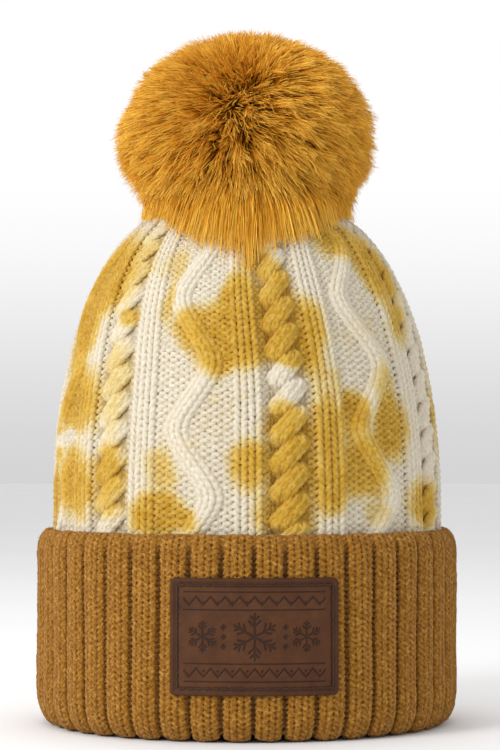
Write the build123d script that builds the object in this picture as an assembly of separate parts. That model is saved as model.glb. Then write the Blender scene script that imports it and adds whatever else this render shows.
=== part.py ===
from build123d import *
import os
from math import atan2, cos, degrees, radians, sin, sqrt

# Pom pom beanie: cable-knit dome, folded ribbed cuff, sewn patch and a faux fur pompom on a press stud.
# Millimetres, +Z up. The origin is the centre of the head opening, level with the rim.
# -Y is the front, where the patch is, and +X is on the right seen from the front.

# ---- The hat's rings ---------------------------------------------------------------------
# Each level of the hat is an ellipse. Sizes are half widths from side to side, and the half
# depth from front to back is this share of them.
DEPTH_RATIO = 0.91

# ---- Cuff --------------------------------------------------------------------------------
CUFF_HALF_WIDTH = 81.0
CUFF_HEIGHT = 75.0
LEAF = 4.0              # thickness of one leaf of the rib
LEAF_GAP = 2.0          # room between the two leaves
FOLD_RADIUS = 3.2       # rounding of the bottom fold, outside and inside
LIP_RADIUS = 1.8        # rounding of the turned-up leaf's top edge
SEAM_HEIGHT = 60.0      # where the inner leaf ends and the dome begins

# ---- Dome --------------------------------------------------------------------------------
KNIT = 4.0              # thickness of the cable knit
CROWN_HEIGHT = 200.0
CROWN_FLAT = 18.0       # half width of the level patch at the crown
BODY_HALF_WIDTH = CUFF_HALF_WIDTH - LEAF - LEAF_GAP
SHOULDER = [            # half width and height of the dome's outside, above its straight part
    (BODY_HALF_WIDTH, 84.0),
    (71.6, 127.0),
    (60.6, 166.0),
    (43.0, 191.0),
]

# ---- Seams and lining --------------------------------------------------------------------
SEAM_RIDGE = 1.0
SEAM_RIDGE_HALF_HEIGHT = 4.0
BACK_SEAM_WIDTH = 4.0
BACK_SEAM_RIDGE = 1.2
BACK_SEAM_TOP = 182.0
LINING_GAP = 1.8        # room between the knit and the lining
LINING = 1.8            # thickness of the fleece
LINING_HEM = 12.0       # height of the lining's lower edge
HEM_STITCHES = 40
HEM_STITCH_RADIUS = 0.6
HEM_STITCH_HEIGHT = 15.0
GATHER_RADIUS = 22.0
GATHER_THREAD = 0.5     # radius of the gathering thread
TACK_HEIGHT = 67.0
TACK_RADIUS = 0.7
TACK_ANGLES = (0, 90, 180, 270)

# ---- Patch -------------------------------------------------------------------------------
PATCH_WIDTH = 61.0
PATCH_HEIGHT = 42.0
PATCH_X = 3.0
PATCH_Z = 37.6
PATCH_THICK = 1.4
PATCH_CORNER = 2.0
PATCH_CLEAR = 0.05      # between the ribs' crests and the patch
BORDER_WIDTH = 1.5
BORDER_RAISE = 0.4
STITCH_INSET = 2.6
STITCH_PITCH = 3.1
STITCH_LENGTH = 2.3
STITCH_THICK = 0.5
STITCH_LIFT = 0.02

# ---- Care label, at the +X side inside ---------------------------------------------------
LABEL_WIDTH = 30.0
LABEL_LENGTH = 26.0
LABEL_THICK = 0.6
LABEL_TOP = 46.0
LABEL_X = 64.6          # middle of the label's thickness
LABEL_STITCHES = 7
LABEL_STITCH_PITCH = 4.0
LABEL_STITCH_RADIUS = 0.4
LABEL_STITCH_RAISE = 1.0

# ---- Snap --------------------------------------------------------------------------------
SNAP_PLATE_RADIUS = 6.5
SNAP_PLATE = 0.8        # thickness of each plate of the snap
BARREL_RADIUS = 2.4
CROWN_HOLE = 2.6
DISC_RADIUS = 16.0
SOCKET_WALL_RADIUS = 4.4
SOCKET_HEIGHT = 3.4
SOCKET_FLOOR = 0.8
SOCKET_CAVITY = 3.6
SOCKET_LIP = 0.5
SOCKET_MOUTH = 2.5
SPRING_RING = 2.95
SPRING_WIRE = 0.35
STUD_BALL = 2.2
STUD_NECK = 1.7
SNAP_CLEAR = 0.3        # between the socket and the stud's plate

# ---- Pompom ------------------------------------------------------------------------------
POM_HALF_WIDTH = 50.0
POM_HALF_HEIGHT = 43.0
POM_CENTRE = 224.0
POM_SKIRT = 204.6       # height of the fur's lowest edge
POM_BELLY = 211.0       # height of the underside near the axis
POM_BELLY_RADIUS = 14.0
BASE_RADIUS = 12.0
BASE_THICK = 1.5
SHANK_RADIUS = 1.5
SHANK_CLEAR = 0.5
MOUTH_RADIUS = 9.0
MOUTH_HEIGHT = 4.0
FILL_HALF_WIDTH = 27.0
FILL_HALF_HEIGHT = 25.0
FILL_CENTRE = 232.0
DRAWSTRING_THREAD = 0.7

# Heights up the snap, each from the one below.
SOCKET_TOP = CROWN_HEIGHT + SOCKET_HEIGHT
STUD_PLATE = SOCKET_TOP + SNAP_CLEAR
BASE_BOTTOM = STUD_PLATE + SNAP_PLATE
BASE_TOP = BASE_BOTTOM + BASE_THICK
CAP_TOP = BASE_TOP + SNAP_PLATE
SHANK_HEIGHT = CAP_TOP + SHANK_CLEAR + SHANK_RADIUS


def flattened(solid):
    """A turned solid with its rings squeezed from circles to the hat's ellipses."""
    return scale(solid, by=(1, DEPTH_RATIO, 1))


def ring(outer, inner, bottom, top):
    """A straight elliptic tube between two half widths and two heights."""
    outline = Ellipse(outer, outer * DEPTH_RATIO) - Ellipse(inner, inner * DEPTH_RATIO)
    return Pos(0, 0, bottom) * extrude(outline, top - bottom)


def disc(radius, bottom, top):
    """A round plate or barrel on the hat's axis."""
    return Pos(0, 0, bottom) * extrude(Circle(radius), top - bottom)


def ball(half_width, half_height, height):
    """A ball on the hat's axis, flattened or stretched along Z."""
    return Pos(0, 0, height) * scale(Sphere(1), by=(half_width, half_width, half_height))


def place_on_ellipse(half_width, angle, height, solid):
    """Put a solid on an ellipse of the hat, its own +X pointing outwards."""
    x = half_width * cos(radians(angle))
    y = half_width * DEPTH_RATIO * sin(radians(angle))
    outwards = degrees(atan2(sin(radians(angle)) / DEPTH_RATIO, cos(radians(angle))))
    return Pos(x, y, height) * Rot(0, 0, outwards) * solid


def radial_bar(start, end, radius):
    """A thread bar along X from one distance to another."""
    return Pos((start + end) / 2, 0, 0) * Rot(0, 90, 0) * Cylinder(radius, end - start)


def shoulder(depth):
    """The dome's outside line, moved in by a depth: its curve and the curve's two end points."""
    points = [Vector(x, 0, z) for x, z in SHOULDER] + [Vector(CROWN_FLAT, 0, CROWN_HEIGHT)]
    ends = (Vector(0, 0, 1), Vector(-1, 0, 0))
    outside = Spline(*points, tangents=ends)
    moved = []
    for point in points:
        along = outside.tangent_at(outside.param_at_point(point))
        moved.append(point + Vector(-along.Z, 0, along.X) * depth)
    return Spline(*moved, tangents=ends), moved[0], moved[-1]


def shell(depth, thickness, bottom):
    """A dome between two depths below the outside of the knit, open at the bottom."""
    outer, outer_low, outer_high = shoulder(depth)
    inner, inner_low, inner_high = shoulder(depth + thickness)
    outline = Curve() + [
        Line((outer_low.X, 0, bottom), outer_low),
        outer,
        Line(outer_high, (0, 0, outer_high.Z)),
        Line((0, 0, outer_high.Z), (0, 0, inner_high.Z)),
        Line((0, 0, inner_high.Z), inner_high),
        inner,
        Line(inner_low, (inner_low.X, 0, bottom)),
        Line((inner_low.X, 0, bottom), (outer_low.X, 0, bottom)),
    ]
    return flattened(revolve(make_face(outline.edges()), Axis.Z))


def knit_body():
    return shell(0, KNIT, SEAM_HEIGHT) - disc(CROWN_HOLE, CROWN_HEIGHT - 2 * KNIT, CROWN_HEIGHT + KNIT)


def rib_cuff():
    """The rib turned up on itself: outer leaf, bottom fold and a shorter inner leaf."""
    outer_face = CUFF_HALF_WIDTH - LEAF
    inner_face = BODY_HALF_WIDTH - LEAF
    cuff = ring(CUFF_HALF_WIDTH, inner_face, 0, CUFF_HEIGHT)
    cuff -= ring(outer_face, inner_face, SEAM_HEIGHT, CUFF_HEIGHT)
    fold = cuff.edges().filter_by_position(Axis.Z, -0.01, 0.01)
    cuff = fillet(fold, FOLD_RADIUS)
    cuff -= ring(outer_face, BODY_HALF_WIDTH, LEAF, CUFF_HEIGHT)
    lip = cuff.edges().filter_by_position(Axis.Z, CUFF_HEIGHT - 0.01, CUFF_HEIGHT + 0.01)
    return fillet(lip, LIP_RADIUS)


def cuff_joining_seam():
    inner_face = BODY_HALF_WIDTH - KNIT
    low = SEAM_HEIGHT - SEAM_RIDGE_HALF_HEIGHT
    high = SEAM_HEIGHT + SEAM_RIDGE_HALF_HEIGHT
    return ring(inner_face, inner_face - SEAM_RIDGE, low, high)


def cuff_tacks():
    """Thread bars that bridge the dome and the turned-up leaf."""
    bar = radial_bar(0, LEAF_GAP * DEPTH_RATIO, TACK_RADIUS)
    return [place_on_ellipse(BODY_HALF_WIDTH, angle, TACK_HEIGHT, bar) for angle in TACK_ANGLES]


def back_seam():
    """The ridge inside the knit where the tube is closed, down the middle of the back."""
    low = SEAM_HEIGHT + 2 * SEAM_RIDGE_HALF_HEIGHT
    depth = CUFF_HALF_WIDTH * 2
    slot = Pos(0, depth / 2, (low + BACK_SEAM_TOP) / 2)
    slot *= Box(BACK_SEAM_WIDTH, depth, BACK_SEAM_TOP - low)
    return shell(KNIT, BACK_SEAM_RIDGE, SEAM_HEIGHT) & slot


def crown_gather_thread():
    height = CROWN_HEIGHT - KNIT - 2 * GATHER_THREAD
    return flattened(Pos(0, 0, height) * Torus(GATHER_RADIUS, GATHER_THREAD))


def fleece_lining():
    return shell(KNIT + LINING_GAP, LINING, LINING_HEM)


def lining_stitches():
    """Stitches from the lining's hem to the cuff's inner leaf."""
    outside = BODY_HALF_WIDTH - KNIT - LINING_GAP
    bar = radial_bar(0, LINING_GAP * DEPTH_RATIO, HEM_STITCH_RADIUS)
    step = 360 / HEM_STITCHES
    return [place_on_ellipse(outside, i * step, HEM_STITCH_HEIGHT, bar) for i in range(HEM_STITCHES)]


def patch_block(width, height, corner):
    """A block through the front of the cuff with the patch's outline, for cutting the patch out."""
    outline = RectangleRounded(width, height, corner)
    plane = Plane(origin=(PATCH_X, 0, PATCH_Z), x_dir=(1, 0, 0), z_dir=(0, -1, 0))
    return extrude(plane * outline, 2 * CUFF_HALF_WIDTH)


def leather_patch():
    """A curved plate on the front of the cuff with a raised border."""
    back = CUFF_HALF_WIDTH + PATCH_CLEAR
    front = back + PATCH_THICK
    plate = ring(front, back, 0, CUFF_HEIGHT) & patch_block(PATCH_WIDTH, PATCH_HEIGHT, PATCH_CORNER)
    frame = patch_block(PATCH_WIDTH, PATCH_HEIGHT, PATCH_CORNER)
    frame -= patch_block(PATCH_WIDTH - 2 * BORDER_WIDTH, PATCH_HEIGHT - 2 * BORDER_WIDTH, 1)
    border = ring(front + BORDER_RAISE, front - BORDER_RAISE, 0, CUFF_HEIGHT) & frame
    return plate + border


def stitch_places():
    """Centres and headings of the patch's stitches: x, z and whether the stitch is upright."""
    across = PATCH_WIDTH / 2 - STITCH_INSET
    up = PATCH_HEIGHT / 2 - STITCH_INSET
    count_across = round(2 * across / STITCH_PITCH)
    count_up = round(2 * up / STITCH_PITCH)
    places = []
    for i in range(count_across):
        x = -across + (i + 0.5) * 2 * across / count_across
        places += [(x, -up, False), (x, up, False)]
    for i in range(count_up):
        z = -up + (i + 0.5) * 2 * up / count_up
        places += [(-across, z, True), (across, z, True)]
    return places


def patch_stitches():
    """Thread bars that lie along the patch's edges, just clear of its surface."""
    surface = CUFF_HALF_WIDTH + PATCH_CLEAR + PATCH_THICK
    stitches = []
    for x, z, upright in stitch_places():
        across, up = (STITCH_THICK, STITCH_LENGTH) if upright else (STITCH_LENGTH, STITCH_THICK)
        stitch = Pos(STITCH_LIFT + STITCH_THICK / 2, 0, 0) * Box(STITCH_THICK, across, up)
        share = (PATCH_X + x) / surface
        angle = -degrees(atan2(sqrt(1 - share ** 2), share))
        stitches.append(place_on_ellipse(surface, angle, PATCH_Z + z, stitch))
    return stitches


def care_label():
    """A folded tape that hangs from its top edge."""
    return Pos(LABEL_X, 0, LABEL_TOP - LABEL_LENGTH / 2) * Box(LABEL_THICK, LABEL_WIDTH, LABEL_LENGTH)


def care_label_stitches():
    """Stitches that run from the label's top edge out to the lining."""
    inside = BODY_HALF_WIDTH - KNIT - LINING_GAP - LINING
    start = LABEL_X - LABEL_THICK / 2
    stitches = []
    for i in range(LABEL_STITCHES):
        y = (i - (LABEL_STITCHES - 1) / 2) * LABEL_STITCH_PITCH
        wall = inside * sqrt(1 - (y / (inside * DEPTH_RATIO)) ** 2)
        bar = radial_bar(start, wall - LABEL_STITCH_RADIUS / 4, LABEL_STITCH_RADIUS)
        stitches.append(Pos(0, y, LABEL_TOP + LABEL_STITCH_RAISE) * bar)
    return stitches


def crown_disc():
    high = CROWN_HEIGHT - KNIT
    return disc(DISC_RADIUS, high - SNAP_PLATE, high) - disc(CROWN_HOLE, high - KNIT, high + KNIT)


def snap_socket():
    """A plate on the knit, a wall with a cavity for the spring, and a barrel through the crown."""
    floor = CROWN_HEIGHT + SOCKET_FLOOR
    socket = disc(SNAP_PLATE_RADIUS, CROWN_HEIGHT, floor)
    socket += disc(SOCKET_WALL_RADIUS, floor, SOCKET_TOP)
    socket += disc(BARREL_RADIUS, CROWN_HEIGHT - KNIT - SNAP_PLATE, CROWN_HEIGHT)
    socket -= disc(SOCKET_CAVITY, floor, SOCKET_TOP - SOCKET_LIP)
    return socket - disc(SOCKET_MOUTH, floor, SOCKET_TOP)


def snap_socket_cap():
    high = CROWN_HEIGHT - KNIT - SNAP_PLATE
    return disc(SNAP_PLATE_RADIUS, high - SNAP_PLATE, high)


def snap_spring():
    """The open wire ring that grips the stud's head."""
    height = CROWN_HEIGHT + SOCKET_FLOOR + SNAP_CLEAR + 2 * SPRING_WIRE
    gap = Pos(SPRING_RING, 0, height) * Box(SPRING_RING, 1, SPRING_RING)
    return Pos(0, 0, height) * Torus(SPRING_RING, SPRING_WIRE) - gap


def snap_stud():
    """A ball head on a neck, a plate under the felt, and a rivet post through it."""
    ball_height = CROWN_HEIGHT + SOCKET_FLOOR + SNAP_CLEAR + STUD_BALL / 2
    stud = ball(STUD_BALL, STUD_BALL / 2, ball_height)
    stud += disc(STUD_NECK, ball_height, BASE_TOP)
    return stud + disc(SNAP_PLATE_RADIUS, STUD_PLATE, BASE_BOTTOM)


def stud_cap():
    return disc(SNAP_PLATE_RADIUS, BASE_TOP, CAP_TOP)


def pompom_base():
    return disc(BASE_RADIUS, BASE_BOTTOM, BASE_TOP) - disc(STUD_NECK, BASE_BOTTOM, BASE_TOP)


def thread_shank():
    """The knot of wound thread that the pompom rocks on."""
    return Pos(0, 0, SHANK_HEIGHT) * Sphere(SHANK_RADIUS)


def fill_ball():
    """The fibre ball, level with the mouth's top where it would reach below it."""
    room = POM_HALF_WIDTH * 2
    above = Pos(0, 0, POM_BELLY + MOUTH_HEIGHT + room / 2) * Box(room, room, room)
    return ball(FILL_HALF_WIDTH, FILL_HALF_HEIGHT, FILL_CENTRE) & above


def pompom_fur():
    """The ball of pile, hollow for the fill, with a coned underside and a drawn-in mouth."""
    reach = sqrt(1 - ((POM_CENTRE - POM_SKIRT) / POM_HALF_HEIGHT) ** 2) * POM_HALF_WIDTH
    underside = Curve() + Polyline(
        (0, 0, POM_SKIRT - POM_HALF_HEIGHT),
        (2 * reach, 0, POM_SKIRT - POM_HALF_HEIGHT),
        (2 * reach, 0, POM_SKIRT),
        (reach, 0, POM_SKIRT),
        (POM_BELLY_RADIUS, 0, POM_BELLY),
        (0, 0, POM_BELLY),
        close=True,
    )
    fur = ball(POM_HALF_WIDTH, POM_HALF_HEIGHT, POM_CENTRE)
    fur -= revolve(make_face(underside.edges()), Axis.Z)
    fur -= disc(MOUTH_RADIUS, POM_BELLY, POM_BELLY + MOUTH_HEIGHT)
    return fur - fill_ball()


def pompom_drawstring():
    """The thread round the inside of the fur's mouth, pulled tight over the felt."""
    radius = MOUTH_RADIUS - DRAWSTRING_THREAD
    return Pos(0, 0, POM_BELLY + MOUTH_HEIGHT / 2) * Torus(radius, DRAWSTRING_THREAD)


NODES = {
    "knit_body": knit_body,
    "rib_cuff": rib_cuff,
    "cuff_joining_seam": cuff_joining_seam,
    "cuff_tacks": cuff_tacks,
    "back_seam": back_seam,
    "crown_gather_thread": crown_gather_thread,
    "fleece_lining": fleece_lining,
    "lining_stitches": lining_stitches,
    "leather_patch": leather_patch,
    "patch_stitches": patch_stitches,
    "care_label": care_label,
    "care_label_stitches": care_label_stitches,
    "crown_disc": crown_disc,
    "snap_socket": snap_socket,
    "snap_socket_cap": snap_socket_cap,
    "snap_spring": snap_spring,
    "snap_stud": snap_stud,
    "stud_cap": stud_cap,
    "pompom_base": pompom_base,
    "thread_shank": thread_shank,
    "pompom_fur": pompom_fur,
    "pompom_fill": fill_ball,
    "pompom_drawstring": pompom_drawstring,
}

os.makedirs("parts", exist_ok=True)
for node, make in NODES.items():
    made = make()
    shape = Compound(children=list(made)) if isinstance(made, list) else made
    export_step(shape, f"parts/{node}.step")
    print(f"{node}: {shape.volume:.1f} mm3")
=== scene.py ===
import math

import bpy
import numpy as np
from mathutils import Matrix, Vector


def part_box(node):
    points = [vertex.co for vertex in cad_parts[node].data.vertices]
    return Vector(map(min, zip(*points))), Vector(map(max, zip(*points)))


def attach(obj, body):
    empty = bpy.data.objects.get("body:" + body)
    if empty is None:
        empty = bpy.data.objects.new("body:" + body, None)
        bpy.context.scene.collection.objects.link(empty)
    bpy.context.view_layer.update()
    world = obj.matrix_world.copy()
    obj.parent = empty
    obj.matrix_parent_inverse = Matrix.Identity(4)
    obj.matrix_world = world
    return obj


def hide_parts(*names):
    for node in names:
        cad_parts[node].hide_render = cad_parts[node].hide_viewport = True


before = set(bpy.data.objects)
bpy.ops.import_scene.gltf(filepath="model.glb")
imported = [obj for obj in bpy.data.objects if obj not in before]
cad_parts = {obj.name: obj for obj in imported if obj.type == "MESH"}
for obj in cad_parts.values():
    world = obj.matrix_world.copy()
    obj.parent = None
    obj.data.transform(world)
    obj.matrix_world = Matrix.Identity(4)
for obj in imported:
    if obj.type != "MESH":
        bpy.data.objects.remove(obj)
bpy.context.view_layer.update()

# The looks of a pom pom beanie: yarn-level knit, ribbed cuff, embossed patch and a faux fur pompom.
# Lengths in this file are millimetres and angles are degrees; MM turns them into Blender's metres.
MM = 0.001
RANDOM = np.random.default_rng(20818)


def node_box(node):
    """A CAD node's lowest and highest corners in millimetres."""
    low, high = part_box(node)
    return np.array(low) / MM, np.array(high) / MM


# ---- Sizes that come from the CAD frame ----
CUFF_HIGH = node_box("rib_cuff")[1]
KNIT_LOW, KNIT_HIGH = node_box("knit_body")
PATCH_LOW, PATCH_HIGH = node_box("leather_patch")
FUR_LOW, FUR_HIGH = node_box("pompom_fur")
LINING_LOW = node_box("fleece_lining")[0]
LABEL_LOW, LABEL_HIGH = node_box("care_label")

CUFF_HALF = CUFF_HIGH[0]
CUFF_TOP = CUFF_HIGH[2]
BODY_HALF = KNIT_HIGH[0]
BODY_LOW = KNIT_LOW[2]
CROWN = KNIT_HIGH[2]
DEPTH_RATIO = CUFF_HIGH[1] / CUFF_HIGH[0]
LEAF = 4.0              # thickness of one leaf of the folded cuff

# ---- The dome's outside line: half width and height ----
SHOULDER = [(BODY_HALF, 84.0), (71.6, 127.0), (60.6, 166.0), (43.0, 191.0), (18.0, CROWN)]

# ---- Knit gauge ----
ROW = 2.5               # height of a course in the dome
REPEATS = 6             # cable repeats round the hat
CABLE, PURL, KNIT, PANEL = "cable", "purl", "knit", "panel"
REPEAT = (              # the columns of one repeat from the cable's left edge, with their degrees
    [(CABLE, 2.975)] * 4 + [(PURL, 2.6)] + [(KNIT, 4.35)] * 2
    + [(PANEL, 25.5 / 7)] * 7 + [(KNIT, 4.35)] * 2 + [(PURL, 2.6)]
)
CABLE_CENTRE = 14.4     # angle of the front cable before the warp
CABLE_HALF = 5.95
PANEL_CENTRE = 30.0     # from a cable's centre to its panel's centre
CROSS_ROWS = 4.2        # courses in one cable crossing
ZIGZAG_ROWS = 20        # courses in one period of the travelling band
ZIGZAG_SWING = 5.6      # degrees that the band travels to each side
ZIGZAG_LOW_Z = 87.0     # height at which the band is furthest right


# ---- Small helpers ----
def smoothstep(low, high, value):
    t = np.clip((value - low) / (high - low), 0, 1)
    return t * t * (3 - 2 * t)


def unit(vectors):
    return vectors / np.maximum(np.linalg.norm(vectors, axis=-1, keepdims=True), 1e-9)


def make_object(name, vertices, faces, smooth=True):
    """An object from millimetre vertices and faces that all have the same number of corners."""
    vertices = np.asarray(vertices, dtype=np.float32) * MM
    faces = np.asarray(faces, dtype=np.int32)
    corners = faces.shape[1]
    mesh = bpy.data.meshes.new(name)
    mesh.vertices.add(len(vertices))
    mesh.vertices.foreach_set("co", vertices.ravel())
    mesh.loops.add(faces.size)
    mesh.loops.foreach_set("vertex_index", faces.ravel())
    mesh.polygons.add(len(faces))
    mesh.polygons.foreach_set("loop_start", np.arange(0, faces.size, corners, dtype=np.int32))
    mesh.polygons.foreach_set("use_smooth", np.full(len(faces), smooth))
    mesh.update(calc_edges=True)
    made = bpy.data.objects.new(name, mesh)
    bpy.context.collection.objects.link(made)
    return made


def grid_quads(grid):
    """The four corners of each square in a grid of vertex numbers or map points."""
    return np.stack([grid[:-1, :-1], grid[:-1, 1:], grid[1:, 1:], grid[1:, :-1]], axis=2)


def ring_quads(index):
    """The squares of a grid of vertex numbers whose last column joins its first."""
    return grid_quads(np.column_stack([index, index[:, 0]]))


def ribbon_quads(grid):
    """The four corners of each square along ribbons that have two edges."""
    return np.stack([grid[:, :-1, 0], grid[:, :-1, 1], grid[:, 1:, 1], grid[:, 1:, 0]], axis=2)


def point_values(made, name, values):
    """A number for each vertex, which a material reads by name."""
    layer = made.data.attributes.new(name, "FLOAT", "POINT")
    layer.data.foreach_set("value", np.asarray(values, dtype=np.float32).ravel())


def corner_map(made, name, uv):
    """A UV map from one pair of numbers for each face corner."""
    layer = made.data.uv_layers.new(name=name)
    layer.uv.foreach_set("vector", np.asarray(uv, dtype=np.float32).ravel())


def make_ribbons(name, points, side, half_width, order, columns, margin, span):
    """Flat ribbons along rows of points. Each has a cell of the texture map, laid out in columns."""
    count, samples = points.shape[:2]
    edges = np.stack([points - side * half_width, points + side * half_width], axis=2)
    index = np.arange(count * samples * 2).reshape(count, samples, 2)
    made = make_object(name, edges.reshape(-1, 3), ribbon_quads(index).reshape(-1, 4))
    u = (order[:, None] % columns + margin + span * np.linspace(0, 1, samples)) / columns
    v = (order[:, None] // columns + np.array([0, 0.9])) / math.ceil(count / columns)
    uv = np.stack(np.broadcast_arrays(u[:, :, None], v[:, None, :]), axis=-1)
    corner_map(made, "OFBake", ribbon_quads(uv).reshape(-1, 2))
    return made


class Yarns:
    """Tubes of yarn gathered into one mesh, each with its strip of the texture map."""

    SIDES = 5       # sides of a tube
    STRIP = 6.0     # height of a tube's strip of the map, before the whole map is scaled

    def __init__(self):
        self.vertices = []
        self.faces = []
        self.maps = []
        self.values = {}
        self.count = 0
        self.level = 0.0

    def add(self, points, radius, outwards, closed, per_strip=1, **values):
        """Add tubes. points is (tubes, samples, 3), radius (tubes, samples), outwards as points."""
        tubes, samples = points.shape[:2]
        sides = self.SIDES
        tall = self.STRIP
        if closed:
            along = np.roll(points, -1, axis=1) - np.roll(points, 1, axis=1)
        else:
            along = np.gradient(points, axis=1)
        along = unit(along)
        side = unit(np.cross(along, outwards))
        front = np.cross(side, along)
        turn = math.pi + np.arange(sides) * 2 * math.pi / sides
        ring = (
            np.cos(turn)[None, None, :, None] * front[:, :, None, :]
            + np.sin(turn)[None, None, :, None] * side[:, :, None, :]
        )
        surface = points[:, :, None, :] + ring * radius[:, :, None, None]
        self.vertices.append(surface.reshape(-1, 3))
        index = self.count + np.arange(tubes * samples * sides).reshape(tubes, samples, sides)
        nxt = np.roll(index, -1, axis=1) if closed else index[:, 1:]
        cur = index if closed else index[:, :-1]
        quads = np.stack(
            [cur, np.roll(cur, -1, axis=2), np.roll(nxt, -1, axis=2), nxt], axis=-1
        )
        self.faces.append(quads.reshape(-1, 4))
        spans = quads.shape[1]
        tube = np.arange(tubes)[:, None, None]
        u = (tube % per_strip + 0.02 + 0.96 * np.arange(spans + 1)[None, :, None] / spans) / per_strip
        v = self.level + tall * (tube // per_strip + 0.9 * np.arange(sides + 1)[None, None, :] / sides)
        uv = np.stack(np.broadcast_arrays(u, v), axis=-1)
        corners = np.stack([uv[:, :-1, :-1], uv[:, :-1, 1:], uv[:, 1:, 1:], uv[:, 1:, :-1]], axis=3)
        self.maps.append(corners.reshape(-1, 2))
        steps = np.linalg.norm(np.diff(points, axis=1, prepend=points[:, :1]), axis=-1)
        values = {name: np.asarray(value)[..., None] for name, value in values.items()}
        values["along"] = np.cumsum(steps, axis=1)[..., None]
        values["around"] = np.arange(sides)[None, None, :] / sides
        for name, value in values.items():
            full = np.broadcast_to(value, (tubes, samples, sides))
            self.values.setdefault(name, []).append(full.ravel())
        self.count += tubes * samples * sides
        self.level += tall * math.ceil(tubes / per_strip)

    def add_grid(self, points, inside_out=False, tall=60.0, **values):
        """Add a plain sheet of quads; points is (rows, columns, 3) and columns close in a ring."""
        rows, columns = points.shape[:2]
        self.vertices.append(points.reshape(-1, 3))
        quads = ring_quads(self.count + np.arange(rows * columns).reshape(rows, columns))
        u = np.arange(columns + 1) / columns
        v = self.level + 0.97 * tall * np.arange(rows) / (rows - 1)
        uv = np.stack(np.broadcast_arrays(u[None, :], v[:, None]), axis=-1)
        corners = grid_quads(uv)
        if inside_out:
            quads = quads[:, :, ::-1]
            corners = corners[:, :, ::-1]
        self.faces.append(quads.reshape(-1, 4))
        self.maps.append(corners.reshape(-1, 2))
        for name, value in {"along": 0.0, "around": 0.0, **values}.items():
            full = np.broadcast_to(np.asarray(value), (rows, columns))
            self.values.setdefault(name, []).append(full.ravel())
        self.count += rows * columns
        self.level += tall

    def make(self, name):
        made = make_object(name, np.concatenate(self.vertices), np.concatenate(self.faces))
        corner_map(made, "OFBake", np.concatenate(self.maps) / [1, self.level])
        for key, parts in self.values.items():
            point_values(made, key, np.concatenate(parts))
        return made


# ---- The hat's surface ----
def shoulder_line():
    """The dome's outside line as evenly spaced points from the cuff up to the crown's flat."""
    knots = np.array(SHOULDER)
    slopes = np.gradient(knots, axis=0)
    slopes[0] = [0, 40]
    slopes[-1] = [-26, 0]
    line = [np.array([[BODY_HALF, z] for z in np.linspace(BODY_LOW, SHOULDER[0][1], 40)])]
    for (p0, p1), (m0, m1) in zip(zip(knots, knots[1:]), zip(slopes, slopes[1:])):
        t = np.linspace(0, 1, 60)[1:, None]
        line.append(
            (2 * t**3 - 3 * t**2 + 1) * p0 + (t**3 - 2 * t**2 + t) * m0
            + (3 * t**2 - 2 * t**3) * p1 + (t**3 - t**2) * m1
        )
    line.append(np.array([[x, CROWN] for x in np.linspace(SHOULDER[-1][0], 0.5, 20)[1:]]))
    return np.concatenate(line)


class Profile:
    """A line of half widths and heights, looked up by the length along it."""

    def __init__(self, line):
        self.line = line
        steps = np.linalg.norm(np.diff(line, axis=0), axis=1)
        self.lengths = np.concatenate([[0], np.cumsum(steps)])
        self.total = self.lengths[-1]
        heading = unit(np.gradient(line, axis=0))
        self.normals = np.stack([heading[:, 1], -heading[:, 0]], axis=1)

    def at(self, length, depth=0.0):
        """Half width and height, moved out by a depth along the line's normal."""
        half = np.interp(length, self.lengths, self.line[:, 0])
        height = np.interp(length, self.lengths, self.line[:, 1])
        normal = self.normal(length)
        return half + depth * normal[..., 0], height + depth * normal[..., 1]

    def normal(self, length):
        x = np.interp(length, self.lengths, self.normals[:, 0])
        z = np.interp(length, self.lengths, self.normals[:, 1])
        return unit(np.stack([x, z], axis=-1))

    def length_at_height(self, height):
        return np.interp(height, self.line[:, 1], self.lengths)

    def place(self, angle, length, depth):
        """Points on the hat at an angle from the front, a length along the line and a depth."""
        half, height = self.at(length, depth)
        turn = np.radians(angle)
        x = half * np.sin(turn)
        y = -DEPTH_RATIO * half * np.cos(turn)
        return np.stack(np.broadcast_arrays(x, y, height), axis=-1)

    def outwards(self, angle, length):
        normal = self.normal(length)
        turn = np.radians(angle)
        x = normal[..., 0] * np.sin(turn)
        y = -normal[..., 0] * np.cos(turn)
        return unit(np.stack(np.broadcast_arrays(x, y, normal[..., 1]), axis=-1))


DOME = Profile(shoulder_line())


def warp(angle, length):
    """Where a column of the knit lies: the front is drawn in a little and the top leans left."""
    height = np.interp(length, DOME.lengths, DOME.line[:, 1])
    lean = 3.0 * smoothstep(118, 182, height) * np.cos(np.radians(angle) / 2) ** 2
    return angle - 4.0 * np.sin(np.radians(angle + 15)) - lean


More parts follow.
